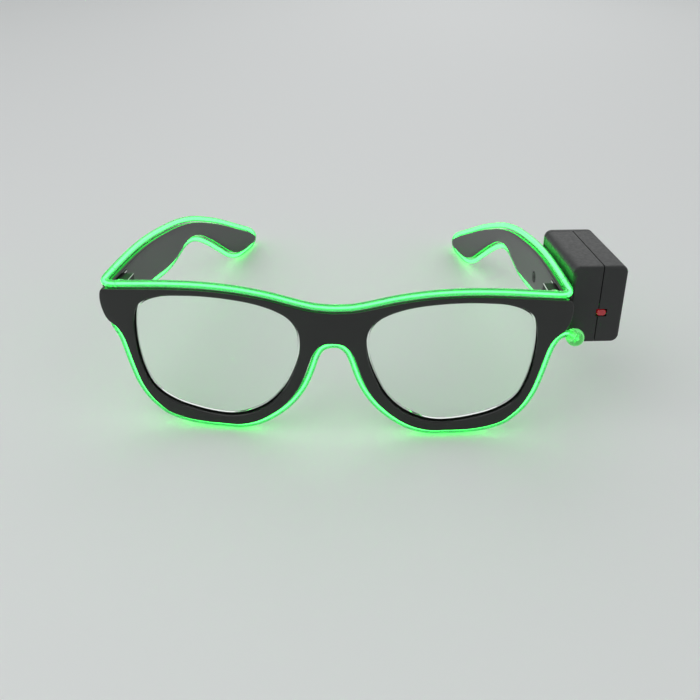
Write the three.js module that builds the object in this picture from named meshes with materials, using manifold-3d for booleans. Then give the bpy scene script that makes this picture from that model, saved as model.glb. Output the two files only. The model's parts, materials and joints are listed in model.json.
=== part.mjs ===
// Light-up party glasses: a bowed front with two lenses, two folding temples, a glowing
// electroluminescent wire round every edge, and a coin-cell inverter box on one temple.
// Millimetres. +X is the wearer's left, +Y runs from the front to the temple tips, +Z is up.
import * as THREE from 'three';
import { mergeVertices } from 'three/addons/utils/BufferGeometryUtils.js';
import Module from 'manifold-3d';

const wasm = await Module();
wasm.setup();

const { degToRad } = THREE.MathUtils;

// Fits and facets
const fitGap = 0.3;
const cutOverrun = 1;
const weldTolerance = 0.0001;
const roundSides = 24;
const smallSides = 16;

// Electroluminescent wire
const wireRadius = 1.15;
const wireSides = 8;
const wireStep = 3.2;
const wireTempleStep = 2.5;
const wireBendStep = 1.2;
const topWireForward = 0.8;
const underWireBack = 0.6;
const wireSeat = wireRadius + fitGap;

// Front, measured in its own leaning plane: u across, v up from the table, b backwards
const lensHalfWidth = 27.2;
const lensHalfHeight = 22.2;
const bridgeHalfWidth = 10.7;
const endpieceLength = 8.9;
const rimBelow = 6.1;
const rimAbove = 3.4;
const frontHalfWidth = bridgeHalfWidth + 2 * lensHalfWidth + endpieceLength;
const frontHeight = rimBelow + 2 * lensHalfHeight + rimAbove;
const frontThickness = 4.2;
const frontBowRadius = 550;
const frontTilt = degToRad(3);
const frontBowFacets = 44;
const frontEdgePoints = 46;
const endpieceSwell = 2;
const openingPoints = 72;
const lensCentreU = bridgeHalfWidth + lensHalfWidth;
const lensCentreV = rimBelow + lensHalfHeight;
const lensThickness = 1.8;
const lensGroove = 0.9;

// Temples
const templeThickness = 3.8;
const templeInset = 0.3;
const templeTopDrop = 1.6;
const templeRootU = frontHalfWidth - templeInset;
const templeTopHeight = frontHeight - templeTopDrop;
const templeReach = 138.5;
const templeToe = degToRad(5);
const templeCurl = 11.8;
const templeCurlStart = 29.3;
const templeFrontGap = 0.4;
const templeLoopPoints = 96;
const templePlanFacets = 16;

// Barrel hinges
const hingePinInset = 3.9;
const hingeDrop = 7.9;
const hingeHeight = frontHeight - hingeDrop;
const barrelRadius = 1.5;
const knuckleHeight = 2.6;
const knuckleCount = 3;
const leafThickness = 1;
const frontLeafLength = 4;
const templeLeafLength = 10.5;
const templeLeafSet = 0.6;
const ridgeLength = 8.5;
const hingeScrewRadius = 0.65;
const hingeScrewHeadRadius = 1.25;
const hingeScrewHead = 0.8;

// Wire at the hinges: how far from the corner it leaves the front, and where it joins the temple
const wireFreeU = 4.5;
const wireFreeRun = 3.6;
const lowerFreeU = 1.9;
const upperTurnShare = 0.62;
const lowerTurnShare = 0.36;

// Wire end cap
const capRadius = 2.1;
const capMouthRadius = 1.8;
const capLength = 5.5;
const capGrip = 3.6;
const capFromTurn = 0.9;
const capDrop = new THREE.Vector3(0.85, -0.2, -0.4).normalize();

// Inverter box, in its own frame: x outwards from the temple, y backwards along it, z up.
// The frame pitches down to the rear as the temple does.
const frontBay = 12.6;
const boxPitch = degToRad(6);
const boxCorner = 2.6;
const boxEdge = 0.9;
const boxWall = 1.6;
const boxInnerWall = 1.7;
const boxSplit = 9.4;
const boxSetBack = 0.6;
const boxBaseDrop = 20.8;

// Battery door
const doorCap = 2.4;
const doorPanel = 1.8;
const doorLip = 0.8;
const doorTongue = 0.8;
const doorCellRoom = 0.2;

// Coin cells, tray and contacts
const cellRadius = 10;
const cellThickness = 3.2;
const cellEdge = 0.3;
const cellCanRadius = 8.8;
const cellCanHeight = 2.6;
const trayWall = 0.85;
const trayFloor = 0.8;
const trayFit = 0.35;
const trayGap = 0.5;
const trayHeight = 6.6;
const trayLead = 5.6;
const contactThickness = 0.4;
const contactWidth = 5;
const contactSpan = 15;

// Inverter board and what is on it
const boardThickness = 0.8;
const boardInset = 0.9;
const boardStandoff = 0.3;
const coreSize = new THREE.Vector3(2.3, 5.6, 5.6);
const coreWaist = 0.7;
const chipSize = new THREE.Vector3(1.5, 4, 5);
const capacitorRadius = 1.9;
const capacitorLength = 4.8;
const switchSize = new THREE.Vector3(1.6, 3.6, 3.2);
const switchNub = 0.5;
const stackGap = 0.9;
const ledSize = new THREE.Vector3(3, 3.2, 2);
const ledCentreX = 10.6;
const ledCentreZ = 10.6;
const ledLead = 0.5;

// Power button under the box
const buttonRadius = 1.9;
const buttonFlange = 0.5;
const buttonFlangeHeight = 0.7;
const buttonProud = 1;
const buttonTravel = 0.6;
const buttonFromSwitch = 2;
const buttonCentreY = 12.4;

// Wire entry under the box
const entryX = 4.8;
const entryY = 21;
const entryRise = 4.6;
const entryLoopRun = 11;
const entryLoopShare = 0.66;
const sleeveWall = 0.45;
const sleeveLength = 3.4;
const sleeveDrop = 2.6;

// Screws that hold the box to the temple
const mountScrewRadius = 0.8;
const mountScrewHeadRadius = 1.7;
const mountScrewHead = 0.9;
const mountScrewHeight = 11.5;
const mountScrewInset = 5.3;

// Wire centre line along the front's top edge, from the bridge to the hinge corner
const topWireShares = [
  [0, 0.886], [0.08, 0.893], [0.16, 0.917], [0.25, 0.949], [0.34, 0.973], [0.45, 0.992],
  [0.58, 1], [0.72, 0.995], [0.86, 0.981], [1, 0.964],
];
// Wire centre line under the front, from the nose arch round one rim to the endpiece
const bottomWireShares = [
  [0, 0.623], [0.034, 0.617], [0.057, 0.59], [0.073, 0.552], [0.09, 0.484], [0.113, 0.389],
  [0.144, 0.296], [0.193, 0.198], [0.263, 0.105], [0.343, 0.035], [0.426, 0.001], [0.514, 0],
  [0.608, 0.005], [0.693, 0.0227], [0.777, 0.066], [0.816, 0.112], [0.854, 0.172], [0.893, 0.274],
  [0.917, 0.39], [0.936, 0.512], [0.952, 0.605], [0.976, 0.668], [1.006, 0.702],
];
// Lens opening about its centre, from the nose side over the top
const openingShares = [
  [-1, 0.318], [-0.978, 0.525], [-0.893, 0.691], [-0.754, 0.806], [-0.511, 0.912],
  [-0.224, 0.972], [0.085, 1], [0.364, 0.995], [0.629, 0.963], [0.809, 0.885],
  [0.919, 0.779], [0.978, 0.594], [1, 0.332], [0.993, 0.046], [0.952, -0.258],
  [0.871, -0.53], [0.746, -0.705], [0.555, -0.843], [0.327, -0.931], [0.085, -0.988],
  [-0.121, -1], [-0.309, -0.954], [-0.507, -0.839], [-0.662, -0.687], [-0.794, -0.484],
  [-0.904, -0.203], [-0.978, 0.083],
];
// Wire centre line round a temple in side view: along the top, round the tip, back underneath
const templeLoopShares = [
  [-0.06, 1], [0.024, 1], [0.096, 0.992], [0.175, 0.975], [0.261, 0.943], [0.362, 0.89],
  [0.47, 0.822], [0.57, 0.732], [0.664, 0.618], [0.75, 0.502], [0.829, 0.381], [0.909, 0.256],
  [0.963, 0.168], [0.99, 0.108], [1, 0.056], [0.994, 0.018], [0.977, 0], [0.934, 0],
  [0.869, 0.0225], [0.807, 0.1], [0.735, 0.25], [0.659, 0.408], [0.594, 0.522],
  [0.54, 0.582], [0.486, 0.596], [0.435, 0.576], [0.385, 0.563], [0.327, 0.576],
  [0.262, 0.607], [0.1755, 0.648], [0.096, 0.68], [0.024, 0.7], [-0.06, 0.712],
];

// Materials
function material(color, roughness, metalness) {
  return new THREE.MeshStandardMaterial({ color, roughness, metalness });
}
const frameBlack = material(0x0b0c0b, 0.22, 0);
const boxBlack = material(0x0d0e0e, 0.5, 0);
const hingeMetal = material(0x2a2c2a, 0.35, 1);
const screwMetal = material(0x8d9092, 0.35, 1);
const nickel = material(0xb8bbb9, 0.3, 1);
const wireGlow = material(0x4dff6a, 0.35, 0);
wireGlow.emissive = new THREE.Color(0x2cff55);
const capClear = material(0xc8f5cf, 0.2, 0);
const sleeveClear = material(0xd7e8da, 0.3, 0);
const lensClear = new THREE.MeshStandardMaterial({
  color: 0xe8f2ea, roughness: 0.05, metalness: 0, transparent: true, opacity: 0.3,
});
const boardGreen = material(0x14512c, 0.5, 0);
const ferrite = material(0x2b2b2d, 0.6, 0);
const chipBlack = material(0x141414, 0.5, 0);
const ledRed = material(0xff2418, 0.3, 0);
ledRed.emissive = new THREE.Color(0xff1a10);

// Solids
function toSolid(geometry) {
  const bare = geometry.clone();
  bare.deleteAttribute('normal');
  bare.deleteAttribute('uv');
  const merged = mergeVertices(bare, weldTolerance);
  return new wasm.Manifold(new wasm.Mesh({
    numProp: 3,
    vertProperties: Float32Array.from(merged.attributes.position.array),
    triVerts: Uint32Array.from(merged.index.array),
  }));
}

function toGeometry(solid) {
  const mesh = solid.getMesh();
  const geometry = new THREE.BufferGeometry();
  geometry.setAttribute('position', new THREE.BufferAttribute(mesh.vertProperties, mesh.numProp));
  geometry.setIndex(new THREE.BufferAttribute(mesh.triVerts, 1));
  geometry.computeVertexNormals();
  return geometry;
}

function piece(name, geometry, surface, parent) {
  const mesh = new THREE.Mesh(geometry, surface);
  mesh.name = name;
  parent.add(mesh);
  return mesh;
}

function box(low, high) {
  const size = new THREE.Vector3().subVectors(high, low);
  const centre = new THREE.Vector3().addVectors(low, high).multiplyScalar(1 / 2);
  const geometry = new THREE.BoxGeometry(size.x, size.y, size.z);
  geometry.translate(centre.x, centre.y, centre.z);
  return geometry;
}

function vec(x, y, z) {
  return new THREE.Vector3(x, y, z);
}

// A cylinder from one point along +X, +Y or +Z
function rod(start, radius, length, axis, sides = roundSides) {
  const geometry = new THREE.CylinderGeometry(radius, radius, length, sides);
  geometry.translate(0, length / 2, 0);
  if (axis === 'x') geometry.rotateZ(-Math.PI / 2);
  if (axis === 'z') geometry.rotateX(Math.PI / 2);
  geometry.translate(start.x, start.y, start.z);
  return geometry;
}

// An outline in the (x, y) plane raised from one height to another
function slab(outline, low, high) {
  const geometry = new THREE.ExtrudeGeometry(new THREE.Shape(outline), {
    depth: high - low, bevelEnabled: false,
  });
  geometry.translate(0, 0, low);
  return geometry;
}

// Outlines
function spline(points, count, closed = false) {
  const curve = new THREE.CatmullRomCurve3(
    points.map(([x, y]) => vec(x, y, 0)), closed, 'centripetal',
  );
  const spaced = curve.getSpacedPoints(count).map((p) => new THREE.Vector2(p.x, p.y));
  return closed ? spaced.slice(0, -1) : spaced;
}

// The outline moved sideways to the left of its own direction
function offsetLeft(points, distance, closed = false) {
  const last = points.length - 1;
  return points.map((point, i) => {
    const before = points[i > 0 ? i - 1 : closed ? last : 0];
    const after = points[i < last ? i + 1 : closed ? 0 : last];
    const along = new THREE.Vector2().subVectors(after, before).normalize();
    return new THREE.Vector2(point.x - along.y * distance, point.y + along.x * distance);
  });
}

function mirrorU(points) {
  return points.map((point) => new THREE.Vector2(-point.x, point.y)).reverse();
}

// Wire
function wireSection(radius) {
  return new THREE.Shape(Array.from({ length: wireSides }, (_, i) => {
    const angle = (i / wireSides) * 2 * Math.PI;
    return new THREE.Vector2(Math.cos(angle), Math.sin(angle)).multiplyScalar(radius);
  }));
}

function wireAlong(points, step, radius = wireRadius) {
  const curve = new THREE.CatmullRomCurve3(points, false, 'centripetal');
  const steps = Math.max(wireSides, Math.round(curve.getLength() / step));
  return new THREE.ExtrudeGeometry(wireSection(radius), {
    steps, bevelEnabled: false, extrudePath: curve,
  });
}

// A path that leaves one end and meets the other along given directions
function joiningPath(start, startWay, end, endWay, count, startShare, endShare) {
  const span = start.distanceTo(end);
  const curve = new THREE.CubicBezierCurve3(
    start,
    start.clone().addScaledVector(startWay, span * startShare),
    end.clone().addScaledVector(endWay, -span * endShare),
    end,
  );
  return curve.getPoints(count);
}

// The front's bow, and points carried from the front's plane onto it, so far behind its middle
function bow(u) {
  return frontBowRadius - Math.sqrt(frontBowRadius ** 2 - u ** 2);
}

function onFront(point, back) {
  return vec(point.x, bow(point.x) + back, point.y);
}

function frontToGlasses(point) {
  return point.clone().applyAxisAngle(vec(1, 0, 0), -frontTilt);
}

const wireSpanV = frontHeight - wireRadius;
const fromFrontShares = ([u, v]) => [u * frontHalfWidth, wireRadius + v * wireSpanV];
const topWire = spline(topWireShares.map(fromFrontShares), frontEdgePoints);
const bottomWire = spline(bottomWireShares.map(fromFrontShares), 2 * frontEdgePoints);

const endpieceHalfWidth = frontHalfWidth + endpieceSwell;
const halfThickness = frontThickness / 2;
const prismNear = -halfThickness - cutOverrun;
const prismFar = bow(endpieceHalfWidth) + halfThickness + cutOverrun;

function frontPrism(outline) {
  const geometry = new THREE.ExtrudeGeometry(new THREE.Shape(outline), {
    depth: prismFar - prismNear, bevelEnabled: false,
  });
  geometry.rotateX(Math.PI / 2);
  geometry.translate(0, prismFar, 0);
  return toSolid(geometry);
}

// Everything between two depths measured from the middle of the bowed front
function bowedSlab(near, far) {
  const half = endpieceHalfWidth + cutOverrun;
  const row = Array.from({ length: frontBowFacets + 1 }, (_, i) => (
    (2 * i / frontBowFacets - 1) * half
  ));
  const front = row.map((u) => new THREE.Vector2(u, bow(u) + near));
  const back = row.map((u) => new THREE.Vector2(u, bow(u) + far)).reverse();
  return toSolid(slab([...front, ...back], -cutOverrun, frontHeight + cutOverrun));
}

function openingOutline(side, growth) {
  const points = openingShares.map(([x, y]) => [
    lensCentreU + x * lensHalfWidth, lensCentreV + y * lensHalfHeight,
  ]);
  const outline = offsetLeft(spline(points, openingPoints, true), growth, true);
  return side > 0 ? outline : mirrorU(outline);
}

function frontOutline() {
  const under = offsetLeft(bottomWire, wireSeat);
  const over = offsetLeft([...topWire].reverse(), wireSeat);
  const low = under[under.length - 1];
  const high = over[0];
  const side = new THREE.CubicBezierCurve(
    low,
    new THREE.Vector2(endpieceHalfWidth, (2 * low.y + high.y) / 3),
    new THREE.Vector2(endpieceHalfWidth, high.y),
    high,
  ).getPoints(roundSides / 2).slice(1, -1);
  const half = [...under, ...side, ...over];
  return [...half, ...mirrorU(half).slice(1, -1)];
}

// Hinge places in the front's frame
const hingeU = templeRootU - hingePinInset;
const hingeB = bow(hingeU) + halfThickness + fitGap + barrelRadius;
const barrelHeight = knuckleCount * knuckleHeight + (knuckleCount - 1) * fitGap;
const barrelLow = hingeHeight - barrelHeight / 2;
const hingeCentre = frontToGlasses(vec(hingeU, hingeB, hingeHeight));

// Temple places
const templeSpanZ = templeTopHeight - wireRadius;
const fromTempleShares = ([y, z]) => [
  hingeCentre.y + y * templeReach, wireRadius + z * templeSpanZ,
];
const templeLoop = spline(templeLoopShares.map(fromTempleShares), templeLoopPoints);

function templeU(y) {
  const run = y - hingeCentre.y;
  const curl = Math.max(0, (run - templeCurlStart) / (templeReach - templeCurlStart));
  return templeRootU - Math.tan(templeToe) * run - templeCurl * curl ** 2;
}

// The hinge parts are drawn about the hinge pin: p away from the middle, q backwards
function hingeOutline(side, corners, turn) {
  const points = corners.map(([p, q]) => new THREE.Vector2(
    side * (hingeU + p * Math.cos(turn) - q * Math.sin(turn)),
    hingeB + p * Math.sin(turn) + q * Math.cos(turn),
  ));
  return side > 0 ? points : points.reverse();
}

function hingeBlock(side, [p0, q0], [p1, q1], low, high, turn = 0) {
  const corners = [[p0, q0], [p1, q0], [p1, q1], [p0, q1]];
  return toSolid(slab(hingeOutline(side, corners, turn), low, high));
}

function knuckle(side, index) {
  const low = barrelLow + index * (knuckleHeight + fitGap);
  return toSolid(rod(vec(side * hingeU, hingeB, low), barrelRadius, knuckleHeight, 'z'));
}

function screwBore(side) {
  return toSolid(rod(
    vec(side * hingeU, hingeB, barrelLow - cutOverrun),
    hingeScrewRadius + fitGap, barrelHeight + 2 * cutOverrun, 'z', smallSides,
  ));
}

const leafLow = barrelLow;
const leafHigh = barrelLow + barrelHeight;
const frontLeafBack = -barrelRadius - fitGap;
const frontLeafNear = frontLeafBack - leafThickness;
const templeFaceP = (templeRootU - templeThickness / 2 - hingeU) * Math.cos(templeToe);
const templeLeafIn = templeFaceP + templeLeafSet - leafThickness;
const templeLeafOut = templeFaceP + templeLeafSet;
const templeLeafStart = barrelRadius + fitGap;

function frontLeaf(side) {
  const plate = hingeBlock(
    side, [-frontLeafLength, frontLeafNear], [barrelRadius, frontLeafBack], leafLow, leafHigh,
  );
  const armLow = barrelLow + knuckleHeight + fitGap;
  const arm = hingeBlock(
    side, [-barrelRadius, frontLeafNear], [barrelRadius, 0], armLow, armLow + knuckleHeight,
  );
  return toGeometry(plate.add(arm).add(knuckle(side, 1)).subtract(screwBore(side)));
}

function frontLeafPocket(side) {
  return hingeBlock(
    side,
    [-frontLeafLength - fitGap, frontLeafNear - fitGap],
    [barrelRadius + fitGap, barrelRadius],
    leafLow - fitGap, leafHigh + fitGap,
  );
}

function templeLeaf(side) {
  let solid = hingeBlock(
    side, [templeLeafIn, templeLeafStart], [templeLeafOut, templeLeafLength],
    leafLow, leafHigh, templeToe,
  );
  for (const index of [0, knuckleCount - 1]) {
    const low = barrelLow + index * (knuckleHeight + fitGap);
    const ridge = hingeBlock(
      side, [-barrelRadius, 0], [templeLeafIn + leafThickness / 2, ridgeLength],
      low, low + knuckleHeight, templeToe,
    );
    solid = solid.add(ridge).add(knuckle(side, index));
  }
  return toGeometry(solid.subtract(screwBore(side)));
}

function hingeScrew(side) {
  const shaft = toSolid(rod(
    vec(side * hingeU, hingeB, barrelLow), hingeScrewRadius,
    barrelHeight + fitGap + hingeScrewHead / 2, 'z', smallSides,
  ));
  const headLow = barrelLow + barrelHeight + fitGap;
  const head = toSolid(rod(
    vec(side * hingeU, hingeB, headLow), hingeScrewHeadRadius, hingeScrewHead, 'z', smallSides,
  ));
  const slotHalf = hingeScrewHead / 4;
  const slotReach = hingeScrewHeadRadius + cutOverrun;
  const slotLow = headLow + hingeScrewHead / 2;
  const slot = toSolid(box(
    vec(side * hingeU - slotReach, hingeB - slotHalf, slotLow),
    vec(side * hingeU + slotReach, hingeB + slotHalf, slotLow + hingeScrewHead),
  ));
  return toGeometry(shaft.add(head).subtract(slot));
}

// Box frame against the temple's outer face
const boxFrontY = hingeCentre.y + boxSetBack;
const boxPlace = new THREE.Matrix4().compose(
  vec(
    templeU(boxFrontY) + templeThickness / 2 / Math.cos(templeToe) + fitGap,
    boxFrontY,
    templeTopHeight - boxBaseDrop,
  ),
  new THREE.Quaternion().setFromEuler(new THREE.Euler(-boxPitch, 0, templeToe, 'ZYX')),
  vec(1, 1, 1),
);
const templeDepth = templeThickness + fitGap;

// Front
function frontFrame() {
  let solid = frontPrism(frontOutline()).intersect(bowedSlab(-halfThickness, halfThickness));
  const groove = bowedSlab(-lensThickness / 2 - fitGap, lensThickness / 2 + fitGap);
  for (const side of [-1, 1]) {
    solid = solid.subtract(frontPrism(openingOutline(side, 0)));
    solid = solid.subtract(frontPrism(openingOutline(side, -lensGroove)).intersect(groove));
    solid = solid.subtract(frontLeafPocket(side));
  }
  return solid;
}

function lens(side) {
  const outline = openingOutline(side, fitGap - lensGroove);
  const shell = bowedSlab(-lensThickness / 2, lensThickness / 2);
  return toGeometry(frontPrism(outline).intersect(shell));
}

// Temples
function templeSolid(side) {
  const reach = templeRootU + templeThickness;
  const profile = new THREE.ExtrudeGeometry(new THREE.Shape(offsetLeft(templeLoop, -wireSeat)), {
    depth: 2 * reach, bevelEnabled: false,
  });
  profile.translate(0, 0, -reach);
  profile.applyMatrix4(new THREE.Matrix4().makeBasis(vec(0, 1, 0), vec(0, 0, 1), vec(1, 0, 0)));
  const ys = Array.from({ length: templePlanFacets + 1 }, (_, i) => (
    (i / templePlanFacets) * (hingeCentre.y + templeReach + cutOverrun)
  ));
  const inner = ys.map((y) => new THREE.Vector2(side * (templeU(y) - templeThickness / 2), y));
  const outer = ys.map((y) => new THREE.Vector2(side * (templeU(y) + templeThickness / 2), y));
  const band = toSolid(slab([...outer, ...inner.reverse()], -cutOverrun, frontHeight));
  const front = toSolid(
    toGeometry(bowedSlab(prismNear - frontHeight, halfThickness + templeFrontGap)).rotateX(-frontTilt),
  );
  const pocket = toSolid(toGeometry(hingeBlock(
    side, [-barrelRadius, -barrelRadius - fitGap],
    [templeLeafOut + fitGap, templeLeafLength + fitGap],
    leafLow - fitGap, leafHigh + fitGap, templeToe,
  )).rotateX(-frontTilt));
  return toSolid(profile).intersect(band).subtract(front).subtract(pocket);
}

function mountScrewHoles() {
  let holes = null;
  for (const place of mountScrewPlaces) {
    const shaft = toSolid(rod(
      vec(-templeDepth - cutOverrun, place, mountScrewHeight),
      mountScrewRadius + fitGap, templeDepth + boxInnerWall, 'x', smallSides,
    ));
    const head = toSolid(rod(
      vec(-templeDepth - cutOverrun, place, mountScrewHeight),
      mountScrewHeadRadius + fitGap, mountScrewHead + fitGap + cutOverrun, 'x', smallSides,
    ));
    holes = holes ? holes.add(shaft).add(head) : shaft.add(head);
  }
  return holes;
}

// Wire round a temple, from its top by the hinge to its underside
function templeWirePoints(side) {
  const start = hingeCentre.y + wireFreeRun;
  return templeLoop
    .filter((point) => point.x > start)
    .map((point) => vec(side * templeU(point.x), point.x, point.y));
}

// Wire over a hinge corner, from the end of a run on the front to the temple's edge
function wireLink(frontRun, side, temple, templeNext, turnShare) {
  const mirror = vec(side, 1, 1);
  const [before, last] = frontRun.slice(-2).map((point) => (
    frontToGlasses(point.clone().multiply(mirror))
  ));
  const frontWay = last.clone().sub(before).normalize();
  const templeWay = templeNext.clone().sub(temple).normalize();
  return joiningPath(
    last.addScaledVector(frontWay, fitGap), frontWay,
    temple.clone().addScaledVector(templeWay, -fitGap), templeWay,
    roundSides, turnShare, turnShare,
  );
}

// What the box holds, stacked outwards from the temple, and the box round it
const boardX = boxInnerWall + boardStandoff;
const componentX = boardX + boardThickness + fitGap;
const trayX = componentX + coreSize.x + stackGap;
const innerContactX = trayX + trayFloor + fitGap;
const innerCellX = innerContactX + contactThickness + fitGap;
const outerCellX = innerCellX + cellThickness + fitGap;
const outerContactX = outerCellX + cellThickness + fitGap;
const doorPanelX = outerContactX + contactThickness + fitGap;
const boxWidth = doorPanelX + doorPanel;
const trayRadius = cellRadius + trayFit + trayWall;
const cellCentreY = frontBay + trayRadius;
const bodyEndY = cellCentreY + trayRadius + fitGap;
const boxLength = bodyEndY + fitGap + doorCap;
const boxHeight = 2 * (boxWall + trayGap + trayRadius);
const cellCentreZ = boxHeight / 2;
const doorFrontY = cellCentreY - cellRadius - trayFit;
const doorHalfHeight = cellRadius + doorCellRoom;
const buttonCentreX = componentX + switchSize.x / 2 + buttonFromSwitch;
const mountScrewPlaces = [frontBay, bodyEndY - mountScrewInset];

// Inverter box shells
function boxOutline(shrink, lowX, highX) {
  const shape = new THREE.Shape();
  const x0 = lowX;
  const x1 = highX;
  const z0 = shrink;
  const z1 = boxHeight - shrink;
  const r = Math.max(boxCorner - shrink, boxEdge / 2);
  shape.moveTo(x0 + r, z0);
  shape.lineTo(x1 - r, z0);
  shape.absarc(x1 - r, z0 + r, r, -Math.PI / 2, 0);
  shape.lineTo(x1, z1 - r);
  shape.absarc(x1 - r, z1 - r, r, 0, Math.PI / 2);
  shape.lineTo(x0 + r, z1);
  shape.absarc(x0 + r, z1 - r, r, Math.PI / 2, Math.PI);
  shape.lineTo(x0, z0 + r);
  shape.absarc(x0 + r, z0 + r, r, Math.PI, 3 * Math.PI / 2);
  return shape;
}

// The box's section raised along y, its ends eased by the given bevel
function boxBar(shrink, lowX, highX, lowY, highY, ease) {
  const geometry = new THREE.ExtrudeGeometry(boxOutline(shrink + ease, lowX + ease, highX - ease), {
    depth: highY - lowY - 2 * ease,
    bevelEnabled: ease > 0,
    bevelThickness: ease,
    bevelSize: ease,
    bevelSegments: 2,
    curveSegments: 4,
  });
  geometry.rotateX(Math.PI / 2);
  geometry.translate(0, highY - ease, 0);
  return toSolid(geometry);
}

function hollowBox() {
  const outside = boxBar(0, 0, boxWidth, 0, boxLength, boxEdge);
  const inside = boxBar(
    boxWall, boxInnerWall, boxWidth - boxWall, boxWall, boxLength + cutOverrun, 0,
  );
  const behind = toSolid(box(
    vec(-cutOverrun, bodyEndY, -cutOverrun),
    vec(boxWidth + cutOverrun, boxLength + cutOverrun, boxHeight + cutOverrun),
  ));
  return outside.subtract(inside).subtract(behind);
}

function halfSpace(lowX, highX) {
  return toSolid(box(
    vec(lowX, -cutOverrun, -cutOverrun),
    vec(highX, boxLength + cutOverrun, boxHeight + cutOverrun),
  ));
}

function ledWindow() {
  return toSolid(box(
    vec(ledCentreX - ledSize.x / 2 - fitGap, -cutOverrun, ledCentreZ - ledSize.z / 2 - fitGap),
    vec(ledCentreX + ledSize.x / 2 + fitGap, boxWall + cutOverrun, ledCentreZ + ledSize.z / 2 + fitGap),
  ));
}

function boxBase() {
  const buttonHole = toSolid(rod(
    vec(buttonCentreX, buttonCentreY, -cutOverrun), buttonRadius + fitGap,
    boxWall + 2 * cutOverrun, 'z', smallSides,
  ));
  const entryHole = toSolid(rod(
    vec(entryX, entryY, -cutOverrun), wireSeat + sleeveWall + fitGap,
    boxWall + 2 * cutOverrun, 'z', smallSides,
  ));
  return toGeometry(hollowBox()
    .intersect(halfSpace(-cutOverrun, boxSplit))
    .subtract(buttonHole)
    .subtract(entryHole)
    .subtract(mountScrewHoles())
    .subtract(ledWindow()));
}

function doorSlot(growth) {
  const lipHalf = doorHalfHeight + growth;
  const lip = toSolid(box(
    vec(doorPanelX - growth, doorFrontY - growth, cellCentreZ - lipHalf),
    vec(boxWidth + growth, boxLength + growth, cellCentreZ + lipHalf),
  ));
  const tongueHalf = lipHalf + doorTongue;
  const tongue = toSolid(box(
    vec(doorPanelX - growth, doorFrontY - growth, cellCentreZ - tongueHalf),
    vec(boxWidth - doorLip + growth, boxLength + growth, cellCentreZ + tongueHalf),
  ));
  return lip.add(tongue);
}

function boxLid() {
  const thicker = toSolid(box(
    vec(doorPanelX - fitGap, boxWall / 2, boxWall / 2),
    vec(boxWidth - boxWall / 2, bodyEndY, boxHeight - boxWall / 2),
  )).intersect(boxBar(0, 0, boxWidth, 0, boxLength, boxEdge));
  return toGeometry(hollowBox()
    .add(thicker)
    .intersect(halfSpace(boxSplit + fitGap, boxWidth + cutOverrun))
    .subtract(doorSlot(fitGap))
    .subtract(ledWindow()));
}

function batteryDoor() {
  const cap = boxBar(0, 0, boxWidth, 0, boxLength, boxEdge).intersect(toSolid(box(
    vec(-cutOverrun, boxLength - doorCap, -cutOverrun),
    vec(boxWidth + cutOverrun, boxLength + cutOverrun, boxHeight + cutOverrun),
  )));
  const panel = doorSlot(0).intersect(halfSpace(doorPanelX, boxWidth)).intersect(toSolid(box(
    vec(0, 0, 0), vec(boxWidth, boxLength - doorCap / 2, boxHeight),
  )));
  return toGeometry(cap.add(panel));
}

function coinCell() {
  const profile = [
    [0, 0], [cellRadius - cellEdge, 0], [cellRadius, cellEdge], [cellRadius, cellCanHeight - cellEdge],
    [cellRadius - cellEdge, cellCanHeight], [cellCanRadius, cellCanHeight],
    [cellCanRadius - cellEdge, cellThickness], [0, cellThickness],
  ].map(([r, h]) => new THREE.Vector2(r, h));
  const geometry = new THREE.LatheGeometry(profile, roundSides);
  geometry.rotateZ(-Math.PI / 2);
  return toGeometry(toSolid(geometry));
}

function contact(tailEnd) {
  const pad = toSolid(rod(vec(0, 0, 0), contactWidth, contactThickness, 'x', roundSides));
  const strip = toSolid(box(
    vec(0, -contactWidth / 4, 0), vec(contactThickness, contactWidth / 4, tailEnd),
  ));
  return toGeometry(pad.add(strip));
}

function cellTray() {
  const centre = vec(trayX, cellCentreY, cellCentreZ);
  const cup = toSolid(rod(centre, trayRadius, trayHeight, 'x', 2 * roundSides));
  const well = toSolid(rod(
    centre.clone().add(vec(trayFloor, 0, 0)), cellRadius + trayFit, boxWidth, 'x', 2 * roundSides,
  ));
  const slot = toSolid(box(
    vec(trayX - cutOverrun, cellCentreY - trayLead / 2, cellCentreZ + cellRadius - trayLead / 2),
    vec(boxWidth, cellCentreY + trayLead / 2, cellCentreZ + trayRadius + cutOverrun),
  ));
  return toGeometry(cup.subtract(well).subtract(slot));
}

function inverterBoard() {
  const edge = boxWall + fitGap + boardInset / 2;
  return box(
    vec(boardX, edge, edge), vec(boardX + boardThickness, bodyEndY - fitGap, boxHeight - edge),
  );
}

function transformer() {
  const low = vec(
    componentX,
    bodyEndY - fitGap - coreSize.y - boardInset,
    boxHeight - boxWall - boardInset - coreSize.z,
  );
  const core = toSolid(box(low, low.clone().add(coreSize)));
  const cut = coreSize.z / 5;
  const waist = toSolid(box(
    low.clone().add(vec(coreSize.x - coreWaist, -cutOverrun, cut)),
    low.clone().add(vec(coreSize.x + cutOverrun, coreSize.y + cutOverrun, coreSize.z - cut)),
  ));
  return toGeometry(core.subtract(waist));
}

function chip() {
  const low = vec(componentX, cellCentreY - chipSize.y / 2, cellCentreZ - chipSize.z / 2);
  return box(low, low.clone().add(chipSize));
}

function capacitor() {
  const place = boxWall + boardInset + capacitorRadius;
  return rod(
    vec(componentX + capacitorRadius, place, boxHeight - boxWall - boardInset - capacitorLength),
    capacitorRadius, capacitorLength, 'z', smallSides,
  );
}

const buttonTopZ = boxWall + fitGap + buttonFlangeHeight;
const switchNubLow = buttonTopZ + fitGap;

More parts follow.
